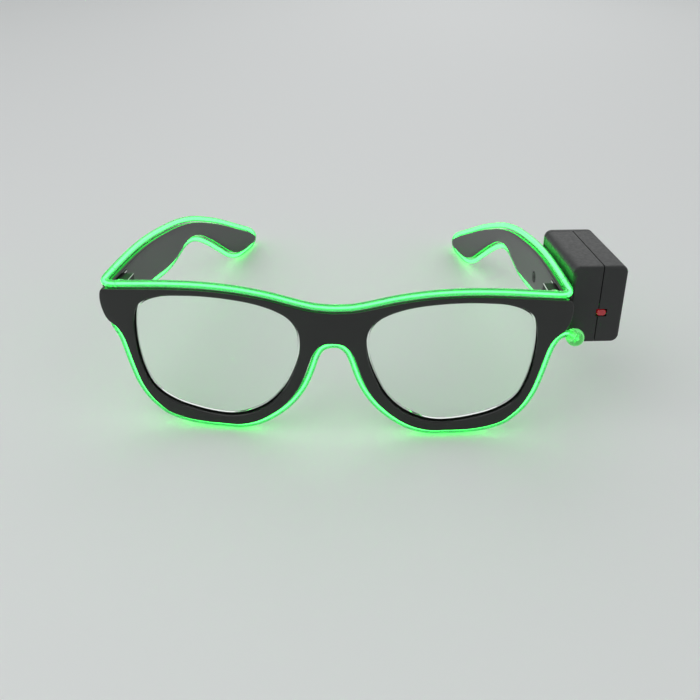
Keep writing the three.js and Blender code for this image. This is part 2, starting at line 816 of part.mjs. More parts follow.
function tactileSwitch() {
  const low = vec(
    componentX, buttonCentreY - switchSize.y / 2, switchNubLow + buttonTravel + fitGap,
  );
  const body = toSolid(box(low, low.clone().add(switchSize)));
  const nub = toSolid(rod(
    vec(componentX + switchSize.x / 2, buttonCentreY, switchNubLow + buttonTravel), switchNub,
    fitGap + switchSize.z / 2, 'z', smallSides,
  ));
  return toGeometry(body.add(nub));
}

function powerButton() {
  const cap = toSolid(rod(
    vec(buttonCentreX, buttonCentreY, -buttonProud), buttonRadius,
    buttonProud + buttonTopZ, 'z', roundSides,
  ));
  const flange = toSolid(rod(
    vec(buttonCentreX, buttonCentreY, boxWall + fitGap), buttonRadius + buttonFlange,
    buttonFlangeHeight, 'z', roundSides,
  ));
  return toGeometry(cap.add(flange));
}

function statusLed() {
  const low = vec(ledCentreX - ledSize.x / 2, -fitGap, ledCentreZ - ledSize.z / 2);
  const body = toSolid(box(low, low.clone().add(ledSize)));
  const leadY = boxWall + ledLead;
  let solid = body;
  for (const turn of [-1, 1]) {
    const centreZ = ledCentreZ + turn * ledSize.z / 4;
    solid = solid.add(toSolid(box(
      vec(componentX, leadY, centreZ - ledLead / 2),
      vec(ledCentreX, leadY + ledLead, centreZ + ledLead / 2),
    )));
  }
  return toGeometry(solid);
}

function mountScrew() {
  const headFace = vec(-templeDepth, 0, 0);
  const shaftLength = templeDepth + boxInnerWall - cutOverrun - fitGap;
  const shaft = toSolid(rod(headFace, mountScrewRadius, shaftLength, 'x', smallSides));
  const head = toSolid(rod(headFace, mountScrewHeadRadius, mountScrewHead, 'x', smallSides));
  const slot = mountScrewHead / 4;
  let solid = shaft.add(head);
  for (const [halfY, halfZ] of [[slot, mountScrewRadius], [mountScrewRadius, slot]]) {
    solid = solid.subtract(toSolid(box(
      vec(-templeDepth - cutOverrun, -halfY, -halfZ),
      vec(-templeDepth + mountScrewHead / 2, halfY, halfZ),
    )));
  }
  return toGeometry(solid);
}

function splitSleeve() {
  const profile = [
    [wireSeat, 0], [wireSeat + sleeveWall, 0],
    [wireSeat + sleeveWall, sleeveLength], [wireSeat, sleeveLength], [wireSeat, 0],
  ].map(([r, h]) => new THREE.Vector2(r, h));
  const geometry = new THREE.LatheGeometry(profile, smallSides);
  geometry.rotateX(Math.PI / 2);
  return toGeometry(toSolid(geometry));
}

function endCap() {
  const bore = wireSeat;
  const profile = [
    [0, capGrip], [bore, capGrip], [bore, 0], [capMouthRadius, 0], [capRadius, capLength / 2],
    [capRadius, capLength - capRadius / 2],
    [capRadius * Math.cos(Math.PI / 4), capLength - capRadius / 6], [0, capLength],
  ].map(([r, h]) => new THREE.Vector2(r, h));
  const geometry = new THREE.LatheGeometry(profile, smallSides);
  return toGeometry(toSolid(geometry));
}

// Assembly
const glasses = new THREE.Group();
const front = new THREE.Group();
front.rotation.x = -frontTilt;
glasses.add(front);
const inverterBox = new THREE.Group();
inverterBox.applyMatrix4(boxPlace);
glasses.add(inverterBox);
const sides = [['left', 1], ['right', -1]];

// Wire on the front
const topHalf = topWire
  .filter((point) => point.x < frontHalfWidth - wireFreeU)
  .map((point) => onFront(point, -topWireForward));
const underWire = bottomWire.map((point) => onFront(point, underWireBack));
const leftUnder = underWire.slice(0, -1);
const rightUnder = leftUnder.filter((point) => point.x < frontHalfWidth - lowerFreeU);
const across = vec(-1, 1, 1);
function overNose(right, left) {
  return [...right.slice(1).reverse().map((point) => point.clone().multiply(across)), ...left];
}
piece('el_wire_front_top', wireAlong(overNose(topHalf, topHalf), wireStep), wireGlow, front);

const underEnd = underWire[underWire.length - 1];
const capMouth = underEnd.clone().addScaledVector(capDrop, capFromTurn);
const wireEnd = capMouth.clone().addScaledVector(capDrop, capGrip - fitGap);
piece('el_wire_front_bottom', wireAlong(
  [...overNose(rightUnder, leftUnder), capMouth, wireEnd], wireStep,
), wireGlow, front);
const cap = piece('el_wire_end_cap', endCap(), capClear, front);
cap.position.copy(capMouth);
cap.quaternion.setFromUnitVectors(vec(0, 1, 0), capDrop);

// Wire round the temples, the left one led into the box
const rightRun = templeWirePoints(-1);
piece('el_wire_temple_right', wireAlong(rightRun, wireTempleStep), wireGlow, glasses);

const entryRun = [
  vec(entryX, entryY, -sleeveDrop - wireRadius),
  vec(entryX, entryY, boxWall),
  vec(entryX, entryY, entryRise),
].map((point) => point.applyMatrix4(boxPlace));
const leftLoop = templeWirePoints(1);
const leftRun = leftLoop.filter((point, i) => (
  i < leftLoop.length / 2 || point.y > boxFrontY + entryY + entryLoopRun
));
const intoSleeve = joiningPath(
  leftRun[leftRun.length - 1], vec(0, -1, 0), entryRun[0], vec(0, 0, 1),
  smallSides, 1 - entryLoopShare, entryLoopShare,
).slice(1, -1);
piece('el_wire_temple_left', wireAlong(
  [...leftRun, ...intoSleeve, ...entryRun], wireTempleStep,
), wireGlow, glasses);

// Wire over the hinges, and the channels that it passes through
const links = sides.map(([word, side]) => {
  const run = side > 0 ? leftLoop : rightRun;
  return [`el_wire_hinge_top_${word}`, wireLink(topHalf, side, run[0], run[1], upperTurnShare)];
});
links.push(['el_wire_hinge_bottom_right', wireLink(
  rightUnder, -1, rightRun[rightRun.length - 1], rightRun[rightRun.length - 2], lowerTurnShare,
)]);
let channels = null;
for (const [name, points] of links) {
  piece(name, wireAlong(points, wireBendStep), wireGlow, glasses);
  const channel = toSolid(wireAlong(points, wireBendStep, wireSeat));
  channels = channels ? channels.add(channel) : channel;
}

// Front with its lenses and hinges
const frontChannels = toSolid(toGeometry(channels).rotateX(frontTilt));
piece('front_frame', toGeometry(frontFrame().subtract(frontChannels)), frameBlack, front);
for (const [word, side] of sides) {
  piece(`lens_${word}`, lens(side), lensClear, front);
  piece(`hinge_front_leaf_${word}`, frontLeaf(side), hingeMetal, front);
  piece(`hinge_temple_leaf_${word}`, templeLeaf(side), hingeMetal, front);
  piece(`hinge_screw_${word}`, hingeScrew(side), screwMetal, front);
}

// Temples
const boxHoles = toSolid(toGeometry(mountScrewHoles()).applyMatrix4(boxPlace));
piece('temple_left', toGeometry(
  templeSolid(1).subtract(channels).subtract(boxHoles),
), frameBlack, glasses);
piece('temple_right', toGeometry(templeSolid(-1).subtract(channels)), frameBlack, glasses);

// Inverter box
piece('box_base', boxBase(), boxBlack, inverterBox);
piece('box_lid', boxLid(), boxBlack, inverterBox);
piece('battery_door', batteryDoor(), boxBlack, inverterBox);
piece('power_button', powerButton(), boxBlack, inverterBox);
piece('status_led', statusLed(), ledRed, inverterBox);
piece('inverter_board', inverterBoard(), boardGreen, inverterBox);
piece('inverter_transformer', transformer(), ferrite, inverterBox);
piece('inverter_chip', chip(), chipBlack, inverterBox);
piece('inverter_capacitor', capacitor(), chipBlack, inverterBox);
piece('tactile_switch', tactileSwitch(), nickel, inverterBox);
piece('cell_tray', cellTray(), boxBlack, inverterBox);
const cellPlaces = [['inner', innerCellX], ['outer', outerCellX]];
for (const [word, x] of cellPlaces) {
  const cell = piece(`coin_cell_${word}`, coinCell(), nickel, inverterBox);
  cell.position.set(x, cellCentreY, cellCentreZ);
}
const contactPlaces = [['inner', innerContactX], ['outer', outerContactX]];
for (const [word, x] of contactPlaces) {
  const strip = piece(`cell_contact_${word}`, contact(contactSpan / 2), nickel, inverterBox);
  strip.position.set(x, cellCentreY, cellCentreZ);
}
const sleeve = piece('wire_sleeve', splitSleeve(), sleeveClear, inverterBox);
sleeve.position.set(entryX, entryY, -sleeveDrop);
mountScrewPlaces.forEach((place, i) => {
  const screw = piece(`box_mount_screw_${i + 1}`, mountScrew(), screwMetal, inverterBox);
  screw.position.set(0, place, mountScrewHeight);
});

// The origin is on the table, under the middle of the whole
const extent = new THREE.Box3().setFromObject(glasses, true);
const middle = extent.getCenter(vec(0, 0, 0));
glasses.position.set(-middle.x, -middle.y, -extent.min.z);

export default glasses;
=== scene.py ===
"""Light-up party glasses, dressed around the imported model. Lengths are in metres.

+X is the wearer's left, +Y runs from the front to the temple tips, and +Z is up.
"""

import json
import math

import bmesh
import bpy
import numpy as np
from mathutils import Matrix, Vector
from mathutils.geometry import delaunay_2d_cdt


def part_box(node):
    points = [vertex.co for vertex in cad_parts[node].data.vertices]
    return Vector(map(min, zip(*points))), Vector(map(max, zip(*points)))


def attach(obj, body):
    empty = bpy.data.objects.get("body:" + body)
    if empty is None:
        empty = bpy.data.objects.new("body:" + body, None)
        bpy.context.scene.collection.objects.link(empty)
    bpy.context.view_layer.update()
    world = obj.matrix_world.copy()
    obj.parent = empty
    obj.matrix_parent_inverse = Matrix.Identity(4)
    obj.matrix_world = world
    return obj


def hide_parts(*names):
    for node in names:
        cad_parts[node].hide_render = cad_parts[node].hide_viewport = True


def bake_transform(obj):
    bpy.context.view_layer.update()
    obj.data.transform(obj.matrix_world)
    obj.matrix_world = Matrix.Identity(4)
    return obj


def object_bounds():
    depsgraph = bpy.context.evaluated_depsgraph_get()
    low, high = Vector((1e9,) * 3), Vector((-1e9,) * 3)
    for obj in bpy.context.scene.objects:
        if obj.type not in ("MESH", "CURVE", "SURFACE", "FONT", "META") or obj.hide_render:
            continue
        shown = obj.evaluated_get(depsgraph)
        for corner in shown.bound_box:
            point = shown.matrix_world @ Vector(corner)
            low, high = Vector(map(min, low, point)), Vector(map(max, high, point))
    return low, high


MM = 0.001

# Electroluminescent wire
WIRE_RADIUS = 1.15 * MM
WIRE_SEAT = 1.45 * MM
CORE_RADIUS = 0.23 * MM
WIRE_SIDES = 24
CORE_SIDES = 12
WIRE_END_EASE = 0.06 * MM
WIRE_STEP = 0.8 * MM
LINK_STEP = WIRE_STEP / 2
LINK_REACH = 0.3 * MM
CURVE_STEPS = 8
LEAST_STEPS = 4
LEAST_CROSS = 0.1

# How the end of a packed wire is known
CAD_WIRE_SIDES = 8
CAD_END_REACH = 1.2 * WIRE_RADIUS
CAD_END_FACING = 0.99999

# Camera, measured from the foremost point of the middle of the front, on the table
PHOTO_PIXELS = 700
FOCAL_PIXELS = 800
SENSOR_WIDTH = 36
CAMERA_OFFSET = Vector((15.62, -213.95, 171.51)) * MM
CAMERA_DOWN = 0.56876
CAMERA_YAW = -0.04719
CAMERA_ROLL = 0.00242

# Edges
PART_EDGE = 0.2 * MM
HINGE_EDGE = 0.22 * MM
SMALL_EDGE = 0.08 * MM
WELD_DISTANCE = 0.002 * MM
EDGE_SEGMENTS = 2
EDGE_ANGLE = math.radians(33)
FLAT_ANGLE = math.radians(1)
SHARP_ANGLE = math.radians(36)

# Moulded plates
FRONT_EDGE = 0.45 * MM
TEMPLE_EDGE = 0.7 * MM
LENS_EDGE = 0.15 * MM
OUTLINE_STEP = 0.8 * MM
SHEET_GRID = 2.4 * MM
GRID_MARGIN = SHEET_GRID / 3
EDGE_ROWS = 4
EDGE_KEEP = 0.97
BROAD_FACING = 0.9
STRAIGHT_BEND = 0.004
CORNER_ANGLE = math.radians(40)
DEPTH_DEGREE = 6
CDT_TOLERANCE = 1e-9

# Seats cut into the plates
SEAT_GAP = 0.3 * MM
LENS_GROOVE_DEPTH = 0.9 * MM
LENS_GROOVE_HALF = 1.2 * MM
TEMPLE_TOE = math.radians(5)
SCREW_HOLE_RADIUS = 1.1 * MM
SCREW_HEAD_RADIUS = 2.0 * MM
SCREW_HEAD_DEPTH = 1.2 * MM

# Solids of revolution
TURNED_SIDES = 40
QUARTER = 90

# Wire end cap and sleeve, the cap's direction in the front's own axes: across, backwards, up
CAP_WAY = (0.85, -0.2, -0.4)
CAP_MOUTH_RADIUS = 1.8 * MM
CAP_LIP = 0.12 * MM
CAP_LIP_STEPS = 4
CAP_BORE_DEPTH = 3.6 * MM
CAP_BORE_STEPS = 4
CAP_SWELL_START = 0.15
CAP_SWELL_POINTS = 8
CAP_DOME_STEPS = 10
SLEEVE_STEPS = 8

# Status light
LED_WIDTH = 3.0 * MM
LED_CORNER = 0.9 * MM
LED_LEAST_CORNER = LED_CORNER / 4
LED_CORNER_POINTS = 7
LED_DOME = 0.45 * MM
LED_DOME_POINTS = 6
LED_LEAD_RADIUS = 0.23 * MM
LED_LEAD_SPACING = 1.0 * MM
LED_LEAD_BACK = 0.6 * MM
LED_LEAD_POINTS = 8

# Surface textures
NOISE_ROUGHNESS = 0.5
CLOUD_SCALE = 60.0
RUB_SCALE = 900.0
BRUSH_SCALE = 1.0
BRUSH_STRETCH = (300.0, 300.0, 4000.0)
BRUSH_SHADE = 0.8
PHOSPHOR_SCALE = 1400.0
DYE_SCALE = 700.0
FRAME_GRAIN = 0.004 * MM
BOX_GRAIN = 0.03 * MM
BUTTON_GRAIN = 0.02 * MM
BOARD_GRAIN = 0.01 * MM
FERRITE_GRAIN = 0.03 * MM
BRUSH_GRAIN = 0.01 * MM
PLASTIC_IOR = 1.49

# Stage: each lamp has a direction and watts
LAMPS = {
    "key": ((-0.5, -0.45, 0.95), 2.0),
    "fill": ((0.8, -0.6, 0.6), 0.6),
    "rim": ((0.1, 0.9, 0.6), 0.9),
}
LAMP_DISTANCE = 0.9
LAMP_SIZE = 0.9
WORLD_COLOUR = (0.9, 0.92, 0.92, 1)
WORLD_STRENGTH = 0.6
FLOOR_COLOUR = (0.78, 0.79, 0.79, 1)
FLOOR_ROUGHNESS = 0.6
FLOOR_HALF = 12.0
FLOOR_GAP = 0.05 * MM

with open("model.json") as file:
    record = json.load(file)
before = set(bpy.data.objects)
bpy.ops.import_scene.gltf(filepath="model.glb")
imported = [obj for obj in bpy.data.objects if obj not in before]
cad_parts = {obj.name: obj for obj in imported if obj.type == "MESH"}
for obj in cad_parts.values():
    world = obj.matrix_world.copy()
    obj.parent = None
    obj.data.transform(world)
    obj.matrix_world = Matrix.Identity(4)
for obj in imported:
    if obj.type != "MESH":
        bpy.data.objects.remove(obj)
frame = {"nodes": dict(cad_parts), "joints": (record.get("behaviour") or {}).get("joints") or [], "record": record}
cad_low, cad_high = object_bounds()
nodes = frame["nodes"]
joints = {joint["name"]: joint for joint in frame["joints"]}
SIDES = {"left": 1, "right": -1}
BOX_SIDE = "left"


# Materials
def new_material(name):
    made = bpy.data.materials.new(name)
    made.use_nodes = True
    tree = made.node_tree
    return made, tree, tree.nodes["Principled BSDF"]


def noise(tree, scale, detail, stretch=None):
    """Noise in the piece's own coordinates, which stretch multiplies axis by axis."""
    place = tree.nodes.new("ShaderNodeTexCoord").outputs["Object"]
    if stretch:
        mapping = tree.nodes.new("ShaderNodeMapping")
        mapping.inputs["Scale"].default_value = stretch
        tree.links.new(place, mapping.inputs["Vector"])
        place = mapping.outputs["Vector"]
    made = tree.nodes.new("ShaderNodeTexNoise")
    made.inputs["Scale"].default_value = scale
    made.inputs["Detail"].default_value = detail
    made.inputs["Roughness"].default_value = NOISE_ROUGHNESS
    tree.links.new(place, made.inputs["Vector"])
    return made.outputs["Fac"]


def ramp(tree, source, low, high, start, end):
    """Two colours, or two greys, mixed by a value between start and end."""
    made = tree.nodes.new("ShaderNodeValToRGB")
    for element, place, colour in zip(made.color_ramp.elements, (start, end), (low, high)):
        element.position = place
        element.color = (*colour, 1) if isinstance(colour, tuple) else (colour, colour, colour, 1)
    tree.links.new(source, made.inputs["Fac"])
    return made.outputs["Color"]


def bump(tree, shader, source, strength, distance):
    made = tree.nodes.new("ShaderNodeBump")
    made.inputs["Strength"].default_value = strength
    made.inputs["Distance"].default_value = distance
    tree.links.new(source, made.inputs["Height"])
    tree.links.new(made.outputs["Normal"], shader.inputs["Normal"])


def moulded_plastic(name, colours, roughness, grain_scale, grain_depth):
    """Opaque plastic with two close colours, a range of roughness and a moulded grain."""
    made, tree, shader = new_material(name)
    clouds = noise(tree, CLOUD_SCALE, detail=5.0)
    tint = ramp(tree, clouds, *colours, start=0.35, end=0.75)
    tree.links.new(tint, shader.inputs["Base Color"])
    rub = noise(tree, RUB_SCALE, detail=3.0)
    rough = ramp(tree, rub, *roughness, start=0.3, end=0.8)
    tree.links.new(rough, shader.inputs["Roughness"])
    grain = noise(tree, grain_scale, detail=2.0)
    bump(tree, shader, grain, strength=0.5, distance=grain_depth)
    return made


def brushed_metal(name, colour, roughness, metallic=1.0):
    """Metal with fine lines across its own height."""
    made, tree, shader = new_material(name)
    shader.inputs["Metallic"].default_value = metallic
    lines = noise(tree, BRUSH_SCALE, detail=3.0, stretch=BRUSH_STRETCH)
    darker = tuple(BRUSH_SHADE * part for part in colour)
    tint = ramp(tree, lines, darker, colour, start=0.3, end=0.7)
    tree.links.new(tint, shader.inputs["Base Color"])
    rough = ramp(tree, lines, *roughness, start=0.3, end=0.7)
    tree.links.new(rough, shader.inputs["Roughness"])
    bump(tree, shader, lines, strength=0.25, distance=BRUSH_GRAIN)
    return made


def clear_plastic(name, colour, roughness, glow=None, strength=0.0, clear=1.0):
    """Clear or milky plastic that lets lamp light through to what is behind it. A glow, where given, is painted
    light: it stands for the wire's light spread through the plastic.
    """
    made, tree, shader = new_material(name)
    shader.inputs["Base Color"].default_value = (*colour, 1)
    shader.inputs["Roughness"].default_value = roughness
    shader.inputs["Transmission Weight"].default_value = clear
    shader.inputs["IOR"].default_value = PLASTIC_IOR
    # Painted glow: emission in place of the lit core's light scattered in the plastic.
    if glow:
        shader.inputs["Emission Color"].default_value = (*glow, 1)
        shader.inputs["Emission Strength"].default_value = strength
    path = tree.nodes.new("ShaderNodeLightPath")
    through = tree.nodes.new("ShaderNodeBsdfTransparent")
    through.inputs["Color"].default_value = (*colour, 1)
    mix = tree.nodes.new("ShaderNodeMixShader")
    tree.links.new(path.outputs["Is Shadow Ray"], mix.inputs["Fac"])
    tree.links.new(shader.outputs["BSDF"], mix.inputs[1])
    tree.links.new(through.outputs["BSDF"], mix.inputs[2])
    tree.links.new(mix.outputs["Shader"], tree.nodes["Material Output"].inputs["Surface"])
    return made


def glowing(name, colours, strength):
    """A lit phosphor: an even glow with a faint grain along it."""
    made, tree, shader = new_material(name)
    shader.inputs["Roughness"].default_value = 0.5
    shader.inputs["Base Color"].default_value = (*colours[0], 1)
    grain = noise(tree, PHOSPHOR_SCALE, detail=2.0)
    tint = ramp(tree, grain, *colours, start=0.25, end=0.75)
    tree.links.new(tint, shader.inputs["Emission Color"])
    shader.inputs["Emission Strength"].default_value = strength
    return made


def lit_plastic(name, colours, strength):
    """A glossy dyed body that glows faintly, a little uneven in its dye."""
    made, tree, shader = new_material(name)
    shader.inputs["Roughness"].default_value = 0.12
    shader.inputs["Coat Weight"].default_value = 0.6
    spots = noise(tree, DYE_SCALE, detail=2.0)
    tint = ramp(tree, spots, *colours, start=0.3, end=0.7)
    tree.links.new(tint, shader.inputs["Base Color"])
    tree.links.new(tint, shader.inputs["Emission Color"])
    shader.inputs["Emission Strength"].default_value = strength
    return made


FRAME_BLACK = moulded_plastic(
    "frame_black", colours=((0.006, 0.007, 0.006), (0.009, 0.011, 0.009)),
    roughness=(0.08, 0.2), grain_scale=500.0, grain_depth=FRAME_GRAIN,
)
BOX_BLACK = moulded_plastic(
    "box_black", colours=((0.010, 0.011, 0.011), (0.016, 0.017, 0.016)),
    roughness=(0.36, 0.52), grain_scale=2600.0, grain_depth=BOX_GRAIN,
)
BUTTON_BLACK = moulded_plastic(
    "button_black", colours=((0.02, 0.02, 0.02), (0.03, 0.03, 0.03)),
    roughness=(0.3, 0.5), grain_scale=2000.0, grain_depth=BUTTON_GRAIN,
)
BOARD_GREEN = moulded_plastic(
    "board_green", colours=((0.02, 0.16, 0.06), (0.03, 0.21, 0.08)),
    roughness=(0.3, 0.45), grain_scale=1800.0, grain_depth=BOARD_GRAIN,
)
FERRITE = moulded_plastic(
    "ferrite", colours=((0.05, 0.05, 0.055), (0.1, 0.1, 0.1)),
    roughness=(0.5, 0.75), grain_scale=2200.0, grain_depth=FERRITE_GRAIN,
)
HINGE_BLACK = brushed_metal("hinge_black", (0.02, 0.021, 0.02), (0.45, 0.6), metallic=0.7)
# A pale finish for the rounded edges of the hinge leaves: a painted highlight along them.
HINGE_PAINTED_HIGHLIGHT = brushed_metal("hinge_painted_highlight", (0.9, 0.92, 0.9), (0.4, 0.55), metallic=0.35)
SCREW_STEEL = brushed_metal("screw_steel", (0.5, 0.51, 0.52), (0.2, 0.34))
SCREW_BLACK = brushed_metal("screw_black", (0.05, 0.052, 0.05), (0.35, 0.5))
NICKEL = brushed_metal("nickel", (0.66, 0.65, 0.62), (0.18, 0.3))
LENS_CLEAR = clear_plastic("lens_clear", (0.93, 0.97, 0.94), roughness=0.0)
# The jacket's glow is painted light, for the core's light spread through the sleeve.
JACKET = clear_plastic(
    "wire_jacket", (0.12, 0.62, 0.24), roughness=0.08,
    glow=(0.1, 0.5, 0.19), strength=0.12, clear=0.65,
)
# The cap's glow is painted light, for the wire's light spread through the cap.
CAP_CLEAR = clear_plastic(
    "cap_clear", (0.3, 0.9, 0.38), roughness=0.08,
    glow=(0.12, 0.7, 0.14), strength=0.22, clear=0.9,
)
SLEEVE_CLEAR = clear_plastic("sleeve_clear", (0.75, 0.95, 0.78), roughness=0.25)
CORE = glowing("wire_core", colours=((0.09, 1.0, 0.14), (0.13, 1.0, 0.18)), strength=9.0)
LED_RED = lit_plastic("led_red", colours=((0.22, 0.004, 0.008), (0.34, 0.01, 0.018)), strength=0.3)

# The first start that fits a node's name counts
NODE_MATERIALS = {
    "front_frame": FRAME_BLACK,
    "temple_": FRAME_BLACK,
    "lens_": LENS_CLEAR,
    "hinge_screw": SCREW_STEEL,
    "hinge_": HINGE_BLACK,
    "box_mount_screw": SCREW_BLACK,
    "box_": BOX_BLACK,
    "battery_door": BOX_BLACK,
    "power_button": BUTTON_BLACK,
    "cell_tray": BUTTON_BLACK,
    "inverter_board": BOARD_GREEN,
    "inverter_transformer": FERRITE,
    "inverter_": BUTTON_BLACK,
    "tactile_switch": NICKEL,
    "cell_contact": NICKEL,
    "coin_cell": NICKEL,
}


def material_of(name):
    return next(made for start, made in NODE_MATERIALS.items() if name.startswith(start))


# Pieces and meshes
def paint(obj, material):
    obj.data.materials.clear()
    obj.data.materials.append(material)


def shade_smooth(mesh):
    for polygon in mesh.polygons:
        polygon.use_smooth = True
    mesh.set_sharp_from_angle(angle=SHARP_ANGLE)


def new_piece(name, mesh, material):
    obj = bpy.data.objects.new(name, mesh)
    bpy.context.scene.collection.objects.link(obj)
    paint(obj, material)
    shade_smooth(mesh)
    return obj


def stand_for(node, piece):
    """The piece is shown in place of a packed one, which is hidden."""
    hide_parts(node)
    return piece


def mesh_of(name, solid):
    data = bpy.data.meshes.new(name)
    solid.to_mesh(data)
    solid.free()
    return data


def welded(obj):
    mesh = bmesh.new()
    mesh.from_mesh(obj.data)
    bmesh.ops.remove_doubles(mesh, verts=mesh.verts, dist=WELD_DISTANCE)
    bmesh.ops.triangulate(mesh, faces=mesh.faces)
    mesh.verts.index_update()
    mesh.faces.index_update()
    return mesh


def in_order(elements):
    """Corners or faces by their number, so that every run works through them alike."""
    return sorted(elements, key=lambda element: element.index)


def join_rings(mesh, rings):
    """Faces from each ring of corners to the next, where a ring may be one corner many times."""
    for ring, after in zip(rings, rings[1:]):
        for k, corner in enumerate(ring):
            follow = (k + 1) % len(ring)
            corners = (corner, ring[follow], after[follow], after[k])
            mesh.faces.new(list(dict.fromkeys(corners)))


def cut(piece, *cutters):
    """Takes the space of closed meshes out of a piece, for good."""
    for mesh in cutters:
        cutter = bpy.data.objects.new("cutter", mesh)
        bpy.context.scene.collection.objects.link(cutter)
        modifier = piece.modifiers.new("cut", "BOOLEAN")
        modifier.operation = "DIFFERENCE"
        modifier.solver = "EXACT"
        modifier.object = cutter
        bpy.context.view_layer.update()
        made = piece.evaluated_get(bpy.context.evaluated_depsgraph_get())
        data = bpy.data.meshes.new_from_object(made)
        piece.modifiers.clear()
        piece.data = data
        bpy.data.objects.remove(cutter)
    shade_smooth(piece.data)


def turned(name, profile, foot, way):
    """A solid of revolution: pairs of radius and height, ending on the axis or closed on itself."""
    way = Vector(way).normalized()
    side = way.orthogonal().normalized()
    other = way.cross(side)
    turns = [math.tau * k / TURNED_SIDES for k in range(TURNED_SIDES)]
    solid = bmesh.new()
    rings = []
    for radius, height in profile:
        radius = float(radius)
        centre = Vector(foot) + float(height) * way
        if radius <= 0:
            rings.append([solid.verts.new(centre)] * TURNED_SIDES)
            continue
        rings.append([
            solid.verts.new(centre + radius * (math.cos(turn) * side + math.sin(turn) * other))
            for turn in turns
        ])
    if profile[0][0] > 0:
        rings.append(rings[0])
    join_rings(solid, rings)
    bmesh.ops.recalc_face_normals(solid, faces=solid.faces)
    return mesh_of(name, solid)


def arc(centre, radius, start, end, steps):
    """Points of an arc in a profile, at angles in degrees from the radius axis."""
    angles = np.radians(np.linspace(start, end, steps + 1))
    return [(centre[0] + radius * math.cos(a), centre[1] + radius * math.sin(a)) for a in angles]


def ease_edges(obj, width, painted_highlight=None):
    """Rounds the sharp edges. Where a second finish is given, the rounded edges get it: a pale painted highlight
    along them.
    """
    weld = obj.modifiers.new("weld", "WELD")
    weld.merge_threshold = WELD_DISTANCE
    if painted_highlight:
        flat = obj.modifiers.new("flat", "DECIMATE")
        flat.decimate_type = "DISSOLVE"
        flat.angle_limit = FLAT_ANGLE
    bevel = obj.modifiers.new("eased", "BEVEL")
    bevel.width = width
    bevel.segments = EDGE_SEGMENTS
    bevel.limit_method = "ANGLE"
    bevel.angle_limit = EDGE_ANGLE
    # The rounded edges take the pale second finish: a painted highlight.
    if painted_highlight:
        obj.data.materials.append(painted_highlight)
        bevel.material = 1
        bevel.use_clamp_overlap = False
    obj.modifiers.new("normals", "WEIGHTED_NORMAL")
    for polygon in obj.data.polygons:
        polygon.use_smooth = True


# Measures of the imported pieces
def spans_along(node, axes):
    """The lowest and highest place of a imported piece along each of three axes."""
    places = np.array([corner.co for corner in nodes[node].data.vertices]) @ np.array(axes).T
    return places.min(0), places.max(0)


def axis_foot(node, way):
    """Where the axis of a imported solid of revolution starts, and its length, along way."""
    solid = welded(nodes[node])
    corners = np.array([corner.co for corner in solid.verts])
    solid.free()
    way = np.array(way)
    places = corners @ way
    middle = corners.mean(0)
    return middle + (places.min() - middle @ way) * way, places.max() - places.min()


def drawn_radius(node, way):
    """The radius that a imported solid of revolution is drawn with.

    It is half the span along Blender's orthogonal to the axis. That vector is about 1.4 long, so
    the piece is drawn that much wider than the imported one.
    """
    side = way.orthogonal()
    low, high = spans_along(node, (side, way, way.cross(side)))
    return (high[0] - low[0]) / 2


def front_axes():
    """The front leans back: its own across, up and outward directions."""
    up = Vector(joints["temple_left_fold"]["axis"]).normalized()
    across = Vector((1, 0, 0))
    return across, up, up.cross(across) * -1


def leaf_axes(side):
    """Across, up and outward for a temple's hinge leaf, which stands at the temple's toe-in."""
    across, up, out = front_axes()
    turn = Matrix.Rotation(side * TEMPLE_TOE, 3, up)
    return turn @ across, up, turn @ out


def box_ways():
    """The inverter box's own outward and upward directions, from its faces that others fasten to."""
    mounts = {
        mount["name"]: Vector(mount["axis"]).normalized() for mount in frame["record"]["mounts"]
    }
    return mounts["box_side"], mounts["box_top"]


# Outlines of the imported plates
def broad_face(mesh, out):
    """The triangles of the largest connected face of a solid that looks along out."""
    left = {face for face in mesh.faces if face.normal.dot(out) > BROAD_FACING}
    groups = []
    while left:
        reach = [left.pop()]
        group = set(reach)
        while reach:
            for edge in reach.pop().edges:
                for other in edge.link_faces:
                    if other in left:
                        left.remove(other)
                        group.add(other)
                        reach.append(other)
        groups.append(group)
    return in_order(max(groups, key=lambda group: sum(face.calc_area() for face in group)))


def rim_loops(group):
    """The closed outlines of a group of faces, each as a list of corners in order."""
    members = set(group)
    follow = {}
    for face in group:
        for side in face.loops:
            if sum(other in members for other in side.edge.link_faces) == 1:
                follow[side.vert] = side.link_loop_next.vert
    outlines = []
    while follow:
        first, corner = follow.popitem()
        outline = [first]
        while corner is not first:
            outline.append(corner)
            corner = follow.pop(corner)
        outlines.append(outline)
    return outlines


def without_straight_points(loop):
    """Drops the corners that lie on a straight stretch, such as where a facet line crosses it."""
    before, after = np.roll(loop, 1, axis=0) - loop, np.roll(loop, -1, axis=0) - loop
    cross = before[:, 0] * after[:, 1] - before[:, 1] * after[:, 0]
    bend = np.abs(cross) / (np.linalg.norm(before, axis=1) * np.linalg.norm(after, axis=1))
    return loop[bend > STRAIGHT_BEND]


def centripetal(a, b, c, d, t):
    """A point of the centripetal Catmull-Rom curve between b and c."""
    chords = (math.sqrt(np.linalg.norm(q - p)) for p, q in ((a, b), (b, c), (c, d)))
    knots = np.cumsum([0, *chords])
    at = knots[1] + t * (knots[2] - knots[1])

    def blend(p, q, low, high):
        return (p * (high - at) + q * (at - low)) / (high - low)

    ab = blend(a, b, knots[0], knots[1])
    bc = blend(b, c, knots[1], knots[2])
    cd = blend(c, d, knots[2], knots[3])
    abc = blend(ab, bc, knots[0], knots[2])
    bcd = blend(bc, cd, knots[1], knots[3])
    return blend(abc, bcd, knots[1], knots[2])


